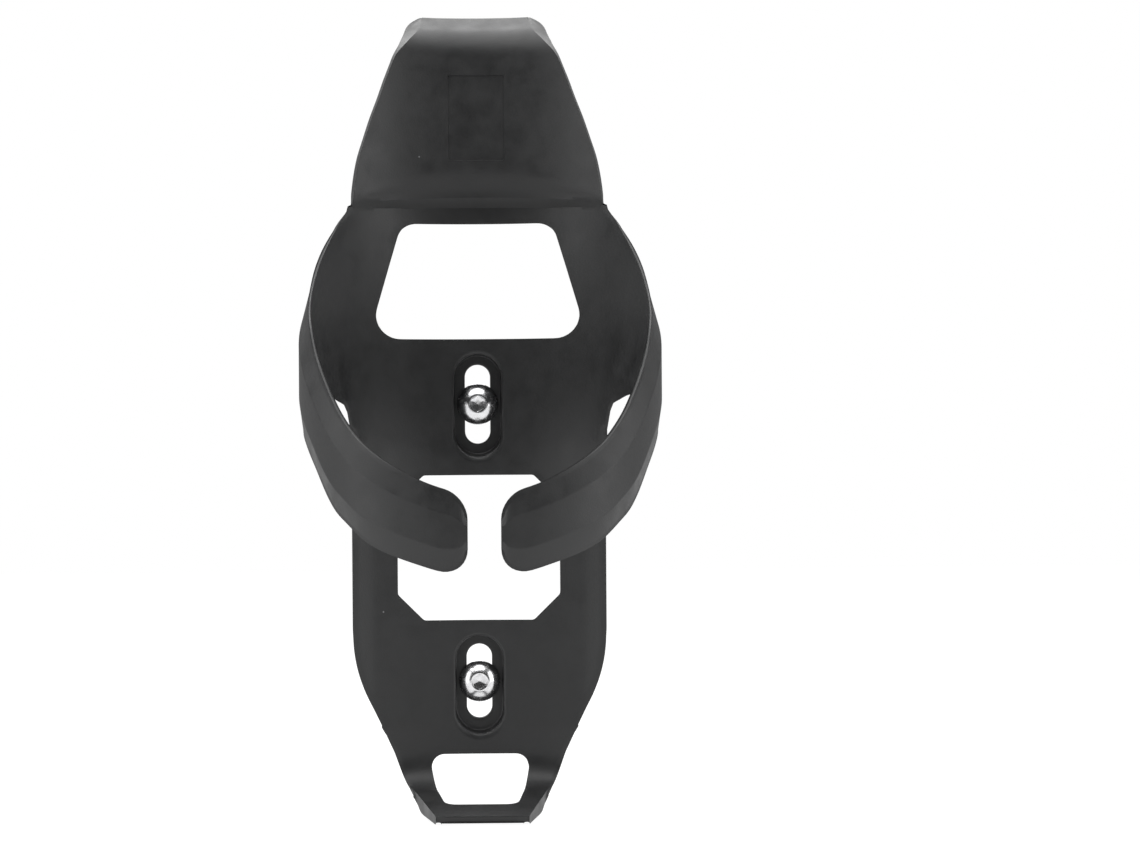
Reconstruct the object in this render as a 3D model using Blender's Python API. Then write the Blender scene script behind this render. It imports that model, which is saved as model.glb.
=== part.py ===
"""Water bottle cage: one nylon moulding and the two screws that hold it to a bicycle frame.

Lengths below are in millimetres and MM turns them into Blender's metres. X runs across the cage,
Y from the bottle to the bicycle tube and Z up along the bottle. The origin lies on the mounting
plane, halfway between the two mounting slots.
"""
from math import asin, atan2, cos, copysign, degrees, hypot, pi, radians, sin, sqrt, tan

import bmesh
import bpy
from mathutils import Vector

MM = 0.001

# Bottle and bolt pattern
BOTTLE_RADIUS = 37.0
SLOT_SPACING = 64.0

# Plate, seen from the bottle
PLATE_Y = -5.5                 # bottle side of the plate on the centre line
PLATE_HALF_WIDTH = 28.6
PLATE_THICKNESS = 2.3
EDGE_THINNING = 0.9            # the plate's free edges are this much thinner
EDGE_REACH = 3.6               # the thinning and the side walls' corners reach this far in
PLATE_CREASE = 0.84            # a faint crease runs down the plate at this part of its half width
SIDE_STRIP_TILT = 0.13         # extra forward slope outside that crease
LOWER_CONCAVITY = 0.38         # 1 follows the bottle, 0 is flat
CONCAVITY_FROM, CONCAVITY_TO = 0.0, 24.0
TAPER_TOP = -19.5

# Shelf below the plate
BEND_START = -47.7
BEND_RADIUS = 8.7
BEND_ANGLE = radians(80.0)
SHELF_LENGTH = 19.75
SHELF_SHOULDER_HALF_WIDTH = 15.1
LIP_HALF_WIDTH = 10.5
BEND_DRAFT = 0.6               # the bend's side faces draw in by this part of a rim's thickness
SMALLEST_WALL = 0.02           # a shallower side wall than this is left out
RIM_BACK_TURN = 0.2            # how far a side wall's thickness turns back for each unit inward
RIM_NARROWING = 0.4            # the share of its thickness that a shallow side wall loses at its edge
LEAST_BACK_SHARE = 0.75        # the least the sheet's own back direction points straight back
LIP_THICKNESS = 1.6

# Tab above the plate
LEDGE_BOTTOM, LEDGE_TOP, LEDGE_BLEND = 77.2, 79.4, 85.2
LEDGE_CORNER, LEDGE_CORNER_GAP = 76.4, 1.2
LEDGE_SIDE_BLEND = 1.0
TAB_STEP = 3.5                 # the tab stands this far ahead of the plate
LEDGE_STEP = 2.5
TAB_RADIUS = 44.0
TAB_THICKNESS = 2.0
ROLL_START = 111.0
ROLL_RADIUS = 9.0
ROLL_ANGLE = radians(55.0)
ROLL_LENGTH = 4.9
RIM_THICKNESS = 1.5            # of the side walls of the tab and the shelf

# Arms
ARM_TIP_GAP = 7.85
ARM_TOP_CORNER_RADIUS, ARM_LOW_CORNER_RADIUS = 4.5, 5.4
ARM_ROOT_LOW, ARM_ROOT_HIGH = 26.0, LEDGE_CORNER
ARM_CROWN = 2.7                # thickness between the creases
TIP_THINNING = 0.6
ROOT_CORNER = 14.0             # near the root's corners the thickness points straight back
ARM_CREASES = (0.27, 0.73)     # the arm's two outer creases, as parts of its width
FACET_END = 160.0              # the facets have faded out at this angle, in degrees

# Mounting slots, their recesses and the bosses behind them
SLOT_WIDTH = 5.85
UPPER_SLOT_LENGTH, LOWER_SLOT_LENGTH = 18.2, 17.2
RECESS_WIDTH = 12.0
UPPER_RECESS_TOP, UPPER_RECESS_BOTTOM = 44.1, 19.0
LOWER_RECESS_TOP, LOWER_RECESS_BOTTOM = -21.1, -44.8
RECESS_FLOOR_Y = -2.5
BOSS_WALL = 1.0

# Windows
UPPER_WINDOW_TOP, UPPER_WINDOW_BOTTOM = 74.0, 46.5
UPPER_WINDOW_TOP_HALF_WIDTH, UPPER_WINDOW_BOTTOM_HALF_WIDTH = 17.6, 25.4
UPPER_WINDOW_TOP_RADIUS, UPPER_WINDOW_BOTTOM_RADIUS = 5.0, 5.8
MIDDLE_WINDOW_TOP, MIDDLE_WINDOW_BOTTOM = 16.1, -18.3
MIDDLE_WINDOW_HALF_WIDTH = 19.15
MIDDLE_WINDOW_CHAMFER = 6.3
MIDDLE_WINDOW_RADIUS = 1.5
LOOP_TOP, LOOP_FRONT = -48.1, -71.1
LOOP_HALF_WIDTH_TOP, LOOP_HALF_WIDTH_FRONT = 12.2, 8.5
LOOP_CORNER_RADIUS = 3.4

# Plain panel on the tab
PANEL_HALF_WIDTH, PANEL_BOTTOM, PANEL_TOP, PANEL_DEPTH = 6.4, 87.8, 107.4, 0.2

# Screws, ISO 7380 M5 x 12
SCREW_GAP = 0.3                # air under the head
SCREW_LENGTH = 12.0
THREAD_RADIUS, THREAD_ROOT_RADIUS, THREAD_PITCH = 2.46, 2.07, 0.8
HEAD_RADIUS, HEAD_HEIGHT, HEAD_EDGE, HEAD_TOP_RADIUS = 4.75, 2.75, 0.35, 2.1
SOCKET_WIDTH, SOCKET_DEPTH = 3.0, 1.6
SCREW_SIDES = 16
THREAD_SAMPLES = 4             # rings in each turn of the thread

ROOT_ANGLE = asin(PLATE_HALF_WIDTH / BOTTLE_RADIUS)
TIP_ANGLE = pi - asin(ARM_TIP_GAP / 2 / BOTTLE_RADIUS)
BEND_END = BEND_START - BEND_RADIUS * BEND_ANGLE
LIP_FRONT = BEND_END - SHELF_LENGTH
ROLL_END = ROLL_START + ROLL_RADIUS * ROLL_ANGLE
TAB_TOP = ROLL_END + ROLL_LENGTH


def interpolate(value, points):
    """Read a smooth curve through (position, height) pairs, level at its ends."""
    if value <= points[0][0]:
        return points[0][1]
    for index in range(len(points) - 1):
        (x0, y0), (x1, y1) = points[index], points[index + 1]
        if value <= x1:
            before = points[max(index - 1, 0)]
            after = points[min(index + 2, len(points) - 1)]
            slope0 = (y1 - before[1]) / (x1 - before[0])
            slope1 = (after[1] - y0) / (after[0] - x0)
            step = x1 - x0
            part = (value - x0) / step
            return (y0 * (1 + 2 * part) * (1 - part) ** 2 + slope0 * step * part * (1 - part) ** 2
                    + y1 * part ** 2 * (3 - 2 * part) + slope1 * step * part ** 2 * (part - 1))
    return points[-1][1]


def smooth_step(start, end, value):
    """0 before the start, 1 past the end; the end may be the lower of the two."""
    part = min(max((value - start) / (end - start), 0.0), 1.0)
    return part * part * (3 - 2 * part)


# The centre line: (forward, height) at the distance s along it, where s is the height on the plate

def centre_line(s):
    if s < BEND_START:
        turned = min((BEND_START - s) / BEND_RADIUS, BEND_ANGLE)
        straight = max(BEND_END - s, 0.0)
        forward = BEND_RADIUS * (1 - cos(turned)) + straight * sin(BEND_ANGLE)
        height = BEND_START - BEND_RADIUS * sin(turned) - straight * cos(BEND_ANGLE)
        return forward, height
    if s > ROLL_START:
        turned = min((s - ROLL_START) / ROLL_RADIUS, ROLL_ANGLE)
        straight = max(s - ROLL_END, 0.0)
        back = ROLL_RADIUS * (1 - cos(turned)) + straight * sin(ROLL_ANGLE)
        height = ROLL_START + ROLL_RADIUS * sin(turned) + straight * cos(ROLL_ANGLE)
        return -back, height
    return 0.0, s


def bow(radius, x):
    """How far a cylinder of this radius has come forward at x."""
    return radius - sqrt(radius * radius - x * x)


# Half widths of the tab and of the plate's taper, and the side walls, against the distance s
TAB_OUTLINE = [(LEDGE_CORNER, 28.4), (83.6, 27.45), (88.2, 26.55), (92.8, 25.15), (97.5, 23.65),
               (102.1, 21.95), (106.7, 20.35), (111.3, 18.5), (113.0, 17.4), (115.2, 15.6),
               (119.0, 13.2), (TAB_TOP, 12.2)]
PLATE_TAPER = [(BEND_START, 19.4), (-43.1, 21.4), (-38.5, 23.55), (-33.9, 25.75), (-29.3, 27.35),
               (-24.7, 28.25), (TAPER_TOP, PLATE_HALF_WIDTH)]
WALL_OUTWARD = [(LEDGE_CORNER, 0.1), (80.0, 0.6), (106.0, 0.65), (111.0, 0.7), (113.6, 1.2), (116.2, 2.0),
                (119.3, 2.8), (121.5, 2.4), (123.3, 1.3), (TAB_TOP, 0.3)]
WALL_BACKWARD = [(LEDGE_CORNER, 0.8), (80.0, 3.0), (106.0, 3.3), (113.0, 3.1), (119.0, 1.9), (122.0, 1.0),
                 (TAB_TOP, 0.3)]
SKIRT_DEPTH = [(LIP_FRONT, 1.5), (-75.0, 2.0), (-71.3, 2.4), (-67.6, 2.8), (-65.3, 2.8), (-63.0, 2.1),
               (-61.2, 1.4), (-59.5, 0.6), (-57.5, 0.0)]


def half_width(s):
    """Half width of the front surface, from crease to crease."""
    if s > LEDGE_CORNER:
        return interpolate(s, TAB_OUTLINE)
    if s > BEND_START:
        return interpolate(s, PLATE_TAPER)
    if s > BEND_END:
        part = (BEND_START - s) / (BEND_START - BEND_END)
        return PLATE_TAPER[0][1] + (SHELF_SHOULDER_HALF_WIDTH - PLATE_TAPER[0][1]) * part
    along = (BEND_END - s) / SHELF_LENGTH
    return SHELF_SHOULDER_HALF_WIDTH + (LIP_HALF_WIDTH - SHELF_SHOULDER_HALF_WIDTH) * along


def ledge_arch(x):
    """The ledge is an arch: 1 on the centre line, 0 at the sides."""
    return 1 - (x / PLATE_HALF_WIDTH) ** 2


def ledge_top(x):
    return LEDGE_CORNER + LEDGE_CORNER_GAP + (LEDGE_TOP - LEDGE_CORNER - LEDGE_CORNER_GAP) * ledge_arch(x)


def ledge_blend(x):
    return ledge_top(x) + LEDGE_SIDE_BLEND + (LEDGE_BLEND - LEDGE_TOP) * ledge_arch(x)


def front_point(x, s):
    """A point of the bottle side of the plate, shelf or tab."""
    forward, height = centre_line(s)
    if s > LEDGE_CORNER:
        bottom = LEDGE_CORNER + (LEDGE_BOTTOM - LEDGE_CORNER) * ledge_arch(x)
        share = LEDGE_STEP / TAB_STEP
        step = min(max((s - bottom) / (ledge_top(x) - bottom), 0.0), 1.0) * share
        step += smooth_step(ledge_top(x), ledge_blend(x), s) * (1 - share)
        tab = TAB_STEP + bow(TAB_RADIUS, x)
        forward += bow(BOTTLE_RADIUS, x) * (1 - step) + tab * step
    else:
        rise = smooth_step(CONCAVITY_FROM, CONCAVITY_TO, s)
        concavity = LOWER_CONCAVITY + (1 - LOWER_CONCAVITY) * rise
        concavity *= smooth_step(BEND_START - 9.0, BEND_START + 6.0, s)
        strip = max(abs(x) - PLATE_CREASE * PLATE_HALF_WIDTH, 0.0) * SIDE_STRIP_TILT * (1 - rise)
        forward += concavity * bow(BOTTLE_RADIUS, x) + strip
    return Vector((x, PLATE_Y - forward, height))


def back_direction(x, s):
    """Unit direction from the front surface to the back one."""
    nudge = 0.4
    across = front_point(x + nudge, s) - front_point(x - nudge, s)
    along = front_point(x, s + nudge) - front_point(x, s - nudge)
    return along.cross(across).normalized()


def side_wall(side, s):
    """From the crease to the rim of a side wall: none on the plate, and skirts under the shelf."""
    if s > LEDGE_CORNER:
        return Vector((side * interpolate(s, WALL_OUTWARD), interpolate(s, WALL_BACKWARD), 0))
    if s < BEND_END:
        return back_direction(side * half_width(s), s) * interpolate(s, SKIRT_DEPTH)
    return Vector((0, 0, 0))


def thickness(s):
    if s > LEDGE_CORNER:
        return TAB_THICKNESS
    return LIP_THICKNESS + (PLATE_THICKNESS - LIP_THICKNESS) * smooth_step(LIP_FRONT, BEND_START, s)


def root_share(height):
    """How far the thickness near an arm's root is radial (1) rather than straight back (0)."""
    low = smooth_step(ARM_ROOT_LOW + ROOT_CORNER / 2, ARM_ROOT_LOW + 1.5 * ROOT_CORNER, height)
    return low * smooth_step(ARM_ROOT_HIGH, ARM_ROOT_HIGH - ROOT_CORNER, height)


def edge_mitre(side, s, wall):
    """The inward part of the thickness at a side wall, and that wall's depth for the sheet's own."""
    draft = BEND_DRAFT * smooth_step(BEND_START + 6.0, BEND_START - 2.0, s)
    if wall.length < SMALLEST_WALL:
        return Vector((-side, 0, 0)) * RIM_THICKNESS * draft, 0.0
    depth = wall.length / thickness(s)
    inward = Vector((-side, RIM_BACK_TURN, 0))
    inward -= wall * (inward.dot(wall) / wall.length_squared)
    return inward.normalized() * RIM_THICKNESS * max(min(depth, 1.0), draft), depth


def sheet_back(x, s, depth):
    """From the front surface to the back one, without the corner of a side wall."""
    back = back_direction(x, s)
    direction = back
    if BEND_START + 6.0 < s <= ARM_ROOT_HIGH:
        share = root_share(s)
        direction = Vector((0, 1, 0)) / max(back.y, LEAST_BACK_SHARE) * (1 - share) + back * share
    edge = smooth_step(-EDGE_REACH, 0.0, abs(x) - half_width(s)) * smooth_step(BEND_END - 2.0, BEND_START, s)
    return direction * (thickness(s) - max(1 - depth, 0.0) * EDGE_THINNING * edge)


def spine_rows():
    """Distances along the centre line at which the plate, shelf and tab have a row of points."""
    rows = [LIP_FRONT, -77.0, -73.5, -69.5, -66.0, -63.0, BEND_END]
    rows += [BEND_END + (BEND_START - BEND_END) * part / 4 for part in range(1, 5)]
    rows += [-43.1, -38.5, -33.9, -31.0, -28.0, -24.7, TAPER_TOP, -12.0, 0.0, 6.0, 12.0, 18.0]
    rows += [ARM_ROOT_LOW + (ARM_ROOT_HIGH - ARM_ROOT_LOW) * part for part in (0.0, *ARM_CREASES, 1.0)]
    return rows


def tab_rows():
    rows = [88.2, 92.8, 99.0, 105.0, ROLL_START]
    rows += [ROLL_START + (ROLL_END - ROLL_START) * part / 3 for part in range(1, 4)]
    return rows + [121.5, 123.3, TAB_TOP]


COLUMNS = (0.0, 1 / 6, 1 / 3, 1 / 2, 2 / 3, PLATE_CREASE, 1.0)

# The arms' edges and edge thicknesses against the angle round the bottle, in degrees
ARM_TOP_EDGE = [(50.6, ARM_ROOT_HIGH), (66, 66.6), (79, 58.7), (90, 52.9), (100, 47.9), (106, 43.6),
                (115, 37.4), (127, 28.8), (139, 22.2), (158, 15.5), (174.2, 12.0)]
ARM_LOW_EDGE = [(50.6, ARM_ROOT_LOW), (53, 31.2), (57, 32.9), (66, 34.2), (79, 31.0), (93, 26.5),
                (111, 19.2), (125, 9.8), (131, 7.0), (142, 2.4), (162, -2.1), (174.2, -4.1)]
ARM_TOP_THICKNESS = [(50.6, 0.9), (72, 0.9), (82, 0.7), (95, 0.7), (120, 1.0), (174.2, 1.1)]
ARM_LOW_THICKNESS = [(50.6, 1.0), (70, 1.2), (93, 1.8), (102, 1.6), (120, 1.4), (131, 1.2), (174.2, 1.1)]
ARM_ANGLES = [53, 57, 66, 75, 84, 93, 102, 111, 120, 129, 138, 147, 156, 164]


def tip_rounding(radius, from_tip):
    """How far an arm's edge has come in at this distance from the tip."""
    reach = max(radius - from_tip, 0.0)
    return radius - sqrt(radius ** 2 - reach ** 2)


def arm_section(angle):
    """The arm at this angle: (height, thickness) at its low edge, two creases and top edge."""
    turn = degrees(angle)
    from_tip = BOTTLE_RADIUS * (TIP_ANGLE - angle)
    low = interpolate(turn, ARM_LOW_EDGE) + tip_rounding(ARM_LOW_CORNER_RADIUS, from_tip)
    high = interpolate(turn, ARM_TOP_EDGE) - tip_rounding(ARM_TOP_CORNER_RADIUS, from_tip)
    crown = PLATE_THICKNESS + (ARM_CROWN - PLATE_THICKNESS) * smooth_step(ROOT_ANGLE, radians(70), angle)
    crown -= TIP_THINNING * smooth_step(radians(FACET_END - 25), radians(FACET_END), angle)
    grown = smooth_step(ROOT_ANGLE, radians(60), angle)
    low_wall = PLATE_THICKNESS + (interpolate(turn, ARM_LOW_THICKNESS) - PLATE_THICKNESS) * grown
    top_wall = PLATE_THICKNESS + (interpolate(turn, ARM_TOP_THICKNESS) - PLATE_THICKNESS) * grown
    heights = [low + (high - low) * part for part in (0.0, *ARM_CREASES, 1.0)]
    return list(zip(heights, (low_wall, crown, crown, top_wall)))


def arm_back(side, angle, height):
    """Direction of the arm's thickness: radial, but straight back at its root's two corners."""
    straight = (1 - root_share(height)) * (1 - smooth_step(ROOT_ANGLE, radians(72), angle))
    outward = Vector((side * sin(angle), cos(angle), 0))
    return outward * (1 - straight) + Vector((0, 1, 0)) * straight


def arm_point(side, angle, height):
    """A point of the arm's inner face."""
    depth = BOTTLE_RADIUS * (1 - cos(angle))
    return Vector((side * BOTTLE_RADIUS * sin(angle), PLATE_Y - depth, height))


# Shells: a front sheet and a back sheet that share an outline

class Sheet:
    """Pairs of front and back points, and the quads between them."""

    def __init__(self):
        self.mesh = bmesh.new()
        self.front = {}
        self.back = {}

    def add(self, key, front, back):
        self.front[key] = self.mesh.verts.new(front * MM)
        self.back[key] = self.mesh.verts.new(back * MM)

    def quad(self, *keys):
        self.mesh.faces.new([self.front[key] for key in keys])
        self.mesh.faces.new([self.back[key] for key in reversed(keys)])

    def close(self):
        """Join the two sheets along their open edges."""
        partner = {self.front[key]: self.back[key] for key in self.front}
        open_edges = [edge for edge in self.mesh.edges
                      if edge.is_boundary and edge.verts[0] in partner and edge.verts[1] in partner]
        for edge in open_edges:
            first, second = edge.verts
            self.mesh.faces.new((first, second, partner[second], partner[first]))
        bmesh.ops.recalc_face_normals(self.mesh, faces=self.mesh.faces)


def build_shell():
    """Plate, shelf, tab and arms as one closed shell."""
    sheet = Sheet()
    rows = spine_rows()
    ledge_rows = ["ledge top", "ledge blend"]
    all_rows = rows + ledge_rows + tab_rows()
    root_rows = [rows.index(s) for s in rows[-4:]]
    last = len(COLUMNS) - 1

    def row_position(row, x):
        if row == "ledge top":
            return ledge_top(x)
        if row == "ledge blend":
            return ledge_blend(x)
        if row == rows[-1]:
            return row + (LEDGE_BOTTOM - LEDGE_CORNER) * ledge_arch(x)
        return row

    for index, row in enumerate(all_rows):
        width = half_width(row_position(row, PLATE_HALF_WIDTH * 0.98))
        for column in range(-last, last + 1):
            x = width * copysign(COLUMNS[abs(column)], column)
            s = row_position(row, x)
            front = front_point(x, s)
            inward, depth = Vector((0, 0, 0)), 0.0
            if abs(column) == last and index not in root_rows:
                wall = side_wall(copysign(1.0, x), s)
                inward, depth = edge_mitre(copysign(1.0, x), s, wall)
            back = sheet_back(x, s, depth)
            sheet.add((index, column), front, front + back + inward)
            if depth > 0:
                shallow = max(1 - depth, 0.0)
                rim = front + wall
                rim_back = rim + inward * (1 - RIM_NARROWING * shallow) + back * shallow
                sheet.add((index, column + copysign(1, column)), rim, rim_back)

    for index in range(len(all_rows) - 1):
        for column in range(-last, last):
            sheet.quad((index, column), (index, column + 1), (index + 1, column + 1), (index + 1, column))
        for edge in (-last, last):
            outer = edge + (1 if edge > 0 else -1)
            keys = [(index, edge), (index, outer), (index + 1, outer), (index + 1, edge)]
            keys = [key for key in keys if key in sheet.front]
            if len(keys) > 2:
                sheet.quad(*(keys if edge > 0 else reversed(keys)))

    tip_columns = [TIP_ANGLE - ARM_LOW_CORNER_RADIUS * part / BOTTLE_RADIUS for part in (1.0, 0.5, 0.15, 0.0)]
    angles = [radians(angle) for angle in ARM_ANGLES] + tip_columns
    for side in (-1, 1):
        previous = [(index, side * last) for index in root_rows]
        for number, angle in enumerate(angles):
            keys = []
            for part, (height, wall) in enumerate(arm_section(angle)):
                key = ("arm", side, number, part)
                inner = arm_point(side, angle, height)
                sheet.add(key, inner, inner + arm_back(side, angle, height) * wall)
                keys.append(key)
            for part in range(3):
                corners = [previous[part], keys[part], keys[part + 1], previous[part + 1]]
                sheet.quad(*(corners if side > 0 else reversed(corners)))
            previous = keys
    sheet.close()
    return sheet.mesh


# Outlines in the XZ plane

def rounded_polygon(corners, steps=4):
    """Points of a polygon whose corners, (x, z, radius), are rounded by arcs."""
    outline = []
    for index, (x, z, radius) in enumerate(corners):
        corner = Vector((x, z))
        before = (Vector(corners[index - 1][:2]) - corner).normalized()
        after = (Vector(corners[(index + 1) % len(corners)][:2]) - corner).normalized()
        half = before.angle(after) / 2
        centre = corner + (before + after).normalized() * radius / sin(half)
        start = corner + before * radius / tan(half) - centre
        turn = (pi - 2 * half) * copysign(1.0, before.x * after.y - before.y * after.x) * -1
        for step in range(steps + 1):
            angle = turn * step / steps
            outline.append(centre + Vector((start.x * cos(angle) - start.y * sin(angle),
                                            start.x * sin(angle) + start.y * cos(angle))))
    return outline


def stadium(centre_z, width, length, steps=9):
    """A slot outline that stands on end."""
    radius = width / 2
    reach = (length - width) / 2
    outline = []
    for end in (1, -1):
        for step in range(steps + 1):
            angle = pi * step / steps + (0 if end > 0 else pi)
            outline.append(Vector((radius * cos(angle), centre_z + end * reach + radius * sin(angle))))
    return outline


def link_object(name, mesh, material=None, cutter=False):
    data = bpy.data.meshes.new(name)
    mesh.to_mesh(data)
    mesh.free()
    thing = bpy.data.objects.new(name, data)
    bpy.context.scene.collection.objects.link(thing)
    if material:
        data.materials.append(material)
    if cutter:
        thing.hide_render = True
        thing.display_type = 'WIRE'
    return thing


def prism(name, outline, y_from, y_to):
    """A helper solid: an outline in XZ, extruded along Y."""
    mesh = bmesh.new()
    face = mesh.faces.new([mesh.verts.new(Vector((p.x, y_from, p.y)) * MM) for p in outline])
    extruded = bmesh.ops.extrude_face_region(mesh, geom=[face])["geom"]
    moved = [item for item in extruded if isinstance(item, bmesh.types.BMVert)]
    bmesh.ops.translate(mesh, vec=Vector((0, y_to - y_from, 0)) * MM, verts=moved)
    bmesh.ops.recalc_face_normals(mesh, faces=mesh.faces)
    return link_object(name, mesh, cutter=True)


def follow_surface(name, rows, above, below):
    """A helper solid along the front surface: rows of (s, left x, right x), with a depth each way."""
    mesh = bmesh.new()
    loops = []
    for s, left, right in rows:
        corners = []
        for x, depth in ((left, -above), (right, -above), (right, below), (left, below)):
            corners.append(mesh.verts.new((front_point(x, s) + back_direction(x, s) * depth) * MM))
        loops.append(corners)
    for first, second in zip(loops, loops[1:]):
        for corner in range(4):
            following = (corner + 1) % 4
            mesh.faces.new((first[corner], first[following], second[following], second[corner]))
    mesh.faces.new(loops[0])
    mesh.faces.new(reversed(loops[-1]))
    bmesh.ops.recalc_face_normals(mesh, faces=mesh.faces)
    return link_object(name, mesh, cutter=True)


def loop_window_rows():
    """The bottom window's rows: it narrows forward, and its corners are round."""
    length = LOOP_TOP - LOOP_FRONT
    corner = [LOOP_CORNER_RADIUS * (1 - cos(pi / 2 * part / 4)) for part in range(5)]
    distances = corner + [length * part / 6 for part in range(2, 5)]
    distances += [length - step for step in reversed(corner)]
    rows = []
    for distance in distances:
        width = LOOP_HALF_WIDTH_FRONT + (LOOP_HALF_WIDTH_TOP - LOOP_HALF_WIDTH_FRONT) * distance / length
        reach = max(LOOP_CORNER_RADIUS - min(distance, length - distance), 0.0)
        width -= LOOP_CORNER_RADIUS - sqrt(LOOP_CORNER_RADIUS ** 2 - reach ** 2)
        rows.append((LOOP_FRONT + distance, -width, width))
    return rows


def apply_boolean(target, helper, operation):
    modifier = target.modifiers.new(helper.name, 'BOOLEAN')
    modifier.operation = operation
    modifier.solver = 'EXACT'
    modifier.object = helper


# Pieces

def build_cage(material):
    cage = link_object("cage_body", build_shell(), material)
    slots = ((SLOT_SPACING / 2, UPPER_SLOT_LENGTH, UPPER_RECESS_TOP, UPPER_RECESS_BOTTOM, "upper"),
             (-SLOT_SPACING / 2, LOWER_SLOT_LENGTH, LOWER_RECESS_TOP, LOWER_RECESS_BOTTOM, "lower"))
    inside_plate = PLATE_Y + PLATE_THICKNESS / 2
    for z, slot_length, top, bottom, name in slots:
        boss = stadium((top + bottom) / 2, RECESS_WIDTH + 2 * BOSS_WALL, top - bottom + 2 * BOSS_WALL)
        apply_boolean(cage, prism(name + " boss", boss, inside_plate, 0.0), 'UNION')
    for z, slot_length, top, bottom, name in slots:
        recess = stadium((top + bottom) / 2, RECESS_WIDTH, top - bottom)
        apply_boolean(cage, prism(name + " recess", recess, -15.0, RECESS_FLOOR_Y), 'DIFFERENCE')
        slot = stadium(z, SLOT_WIDTH, slot_length)
        apply_boolean(cage, prism(name + " slot", slot, -10.0, 5.0), 'DIFFERENCE')

    wide, narrow = UPPER_WINDOW_BOTTOM_HALF_WIDTH, UPPER_WINDOW_TOP_HALF_WIDTH
    trapezoid = [(narrow, UPPER_WINDOW_TOP, UPPER_WINDOW_TOP_RADIUS),
                 (-narrow, UPPER_WINDOW_TOP, UPPER_WINDOW_TOP_RADIUS),
                 (-wide, UPPER_WINDOW_BOTTOM, UPPER_WINDOW_BOTTOM_RADIUS),
                 (wide, UPPER_WINDOW_BOTTOM, UPPER_WINDOW_BOTTOM_RADIUS)]
    apply_boolean(cage, prism("upper window", rounded_polygon(trapezoid), -25.0, 5.0), 'DIFFERENCE')

    wide, cut = MIDDLE_WINDOW_HALF_WIDTH, MIDDLE_WINDOW_CHAMFER
    narrow = wide - cut
    top, bottom = MIDDLE_WINDOW_TOP, MIDDLE_WINDOW_BOTTOM
    octagon = [(wide, top - cut), (narrow, top), (-narrow, top), (-wide, top - cut),
               (-wide, bottom + cut), (-narrow, bottom), (narrow, bottom), (wide, bottom + cut)]
    octagon = [(x, z, MIDDLE_WINDOW_RADIUS) for x, z in octagon]
    apply_boolean(cage, prism("middle window", rounded_polygon(octagon, 2), -25.0, 5.0), 'DIFFERENCE')

    apply_boolean(cage, follow_surface("bottom window", loop_window_rows(), 4.0, 6.0), 'DIFFERENCE')
    panel_rows = [(s, -PANEL_HALF_WIDTH, PANEL_HALF_WIDTH) for s in (PANEL_BOTTOM, PANEL_TOP)]
    apply_boolean(cage, follow_surface("panel", panel_rows, 1.0, PANEL_DEPTH), 'DIFFERENCE')
    return cage


def thread_radius(distance, turn):
    """Radius of the threaded shank at this distance under the head; turn is 0 to 1 round it."""
    phase = (distance / THREAD_PITCH - turn) % 1.0
    ridge = 1 - abs(2 * phase - 1)
    depth = THREAD_RADIUS - THREAD_ROOT_RADIUS
    grown = smooth_step(0.3, 1.1, distance)
    radius = THREAD_ROOT_RADIUS + depth * (ridge * grown + 1 - grown)
    return min(radius, THREAD_ROOT_RADIUS - 0.2 + max(SCREW_LENGTH - distance, 0.0))


def screw_rings():
    """Rings from the shank's tip to the head's flat top: (height over the head's underside, radii)."""
    turns = [index / SCREW_SIDES for index in range(SCREW_SIDES)]
    rings = []
    steps = round(SCREW_LENGTH / THREAD_PITCH * THREAD_SAMPLES)
    for step in range(steps + 1):
        distance = SCREW_LENGTH * (1 - step / steps)
        rings.append((-distance, [thread_radius(distance, turn) for turn in turns]))
    dome_drop = (HEAD_RADIUS ** 2 - HEAD_TOP_RADIUS ** 2 + HEAD_EDGE ** 2 - HEAD_HEIGHT ** 2) \
        / (2 * (HEAD_EDGE - HEAD_HEIGHT))
    dome_radius = hypot(HEAD_RADIUS, HEAD_EDGE - dome_drop)
    start = atan2(HEAD_EDGE - dome_drop, HEAD_RADIUS)
    end = atan2(HEAD_HEIGHT - dome_drop, HEAD_TOP_RADIUS)
    profile = [(0.0, HEAD_RADIUS - 0.1)]
    for step in range(5):
        angle = start + (end - start) * step / 4
        profile.append((dome_drop + dome_radius * sin(angle), dome_radius * cos(angle)))
    rings += [(height, [radius] * SCREW_SIDES) for height, radius in profile]
    return rings


def build_screw(name, z, material):
    """A button-head socket screw on an axis along Y, its head towards the bottle."""
    underside = RECESS_FLOOR_Y - SCREW_GAP
    mesh = bmesh.new()
    rings = []
    for height, radii in screw_rings():
        ring = []
        for index, radius in enumerate(radii):
            angle = 2 * pi * index / SCREW_SIDES
            ring.append(mesh.verts.new(Vector((radius * cos(angle), -height, radius * sin(angle))) * MM))
        rings.append(ring)
    for first, second in zip(rings, rings[1:]):
        for index in range(SCREW_SIDES):
            following = (index + 1) % SCREW_SIDES
            mesh.faces.new((first[index], first[following], second[following], second[index]))
    mesh.faces.new(rings[0])
    mesh.faces.new(rings[-1])
    bmesh.ops.recalc_face_normals(mesh, faces=mesh.faces)
    screw = link_object(name, mesh, material)
    screw.location = Vector((0, underside, z)) * MM

    corner = SOCKET_WIDTH / 2 / cos(pi / 6)
    hexagon = [Vector((corner * sin(pi / 3 * side), z + corner * cos(pi / 3 * side))) for side in range(6)]
    head_top = underside - HEAD_HEIGHT
    socket = prism(name + " socket", hexagon, head_top - 1.0, head_top + SOCKET_DEPTH)
    apply_boolean(screw, socket, 'DIFFERENCE')
    screw.data.shade_smooth()
    screw.data.set_sharp_from_angle(angle=radians(35))
    return screw


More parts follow.
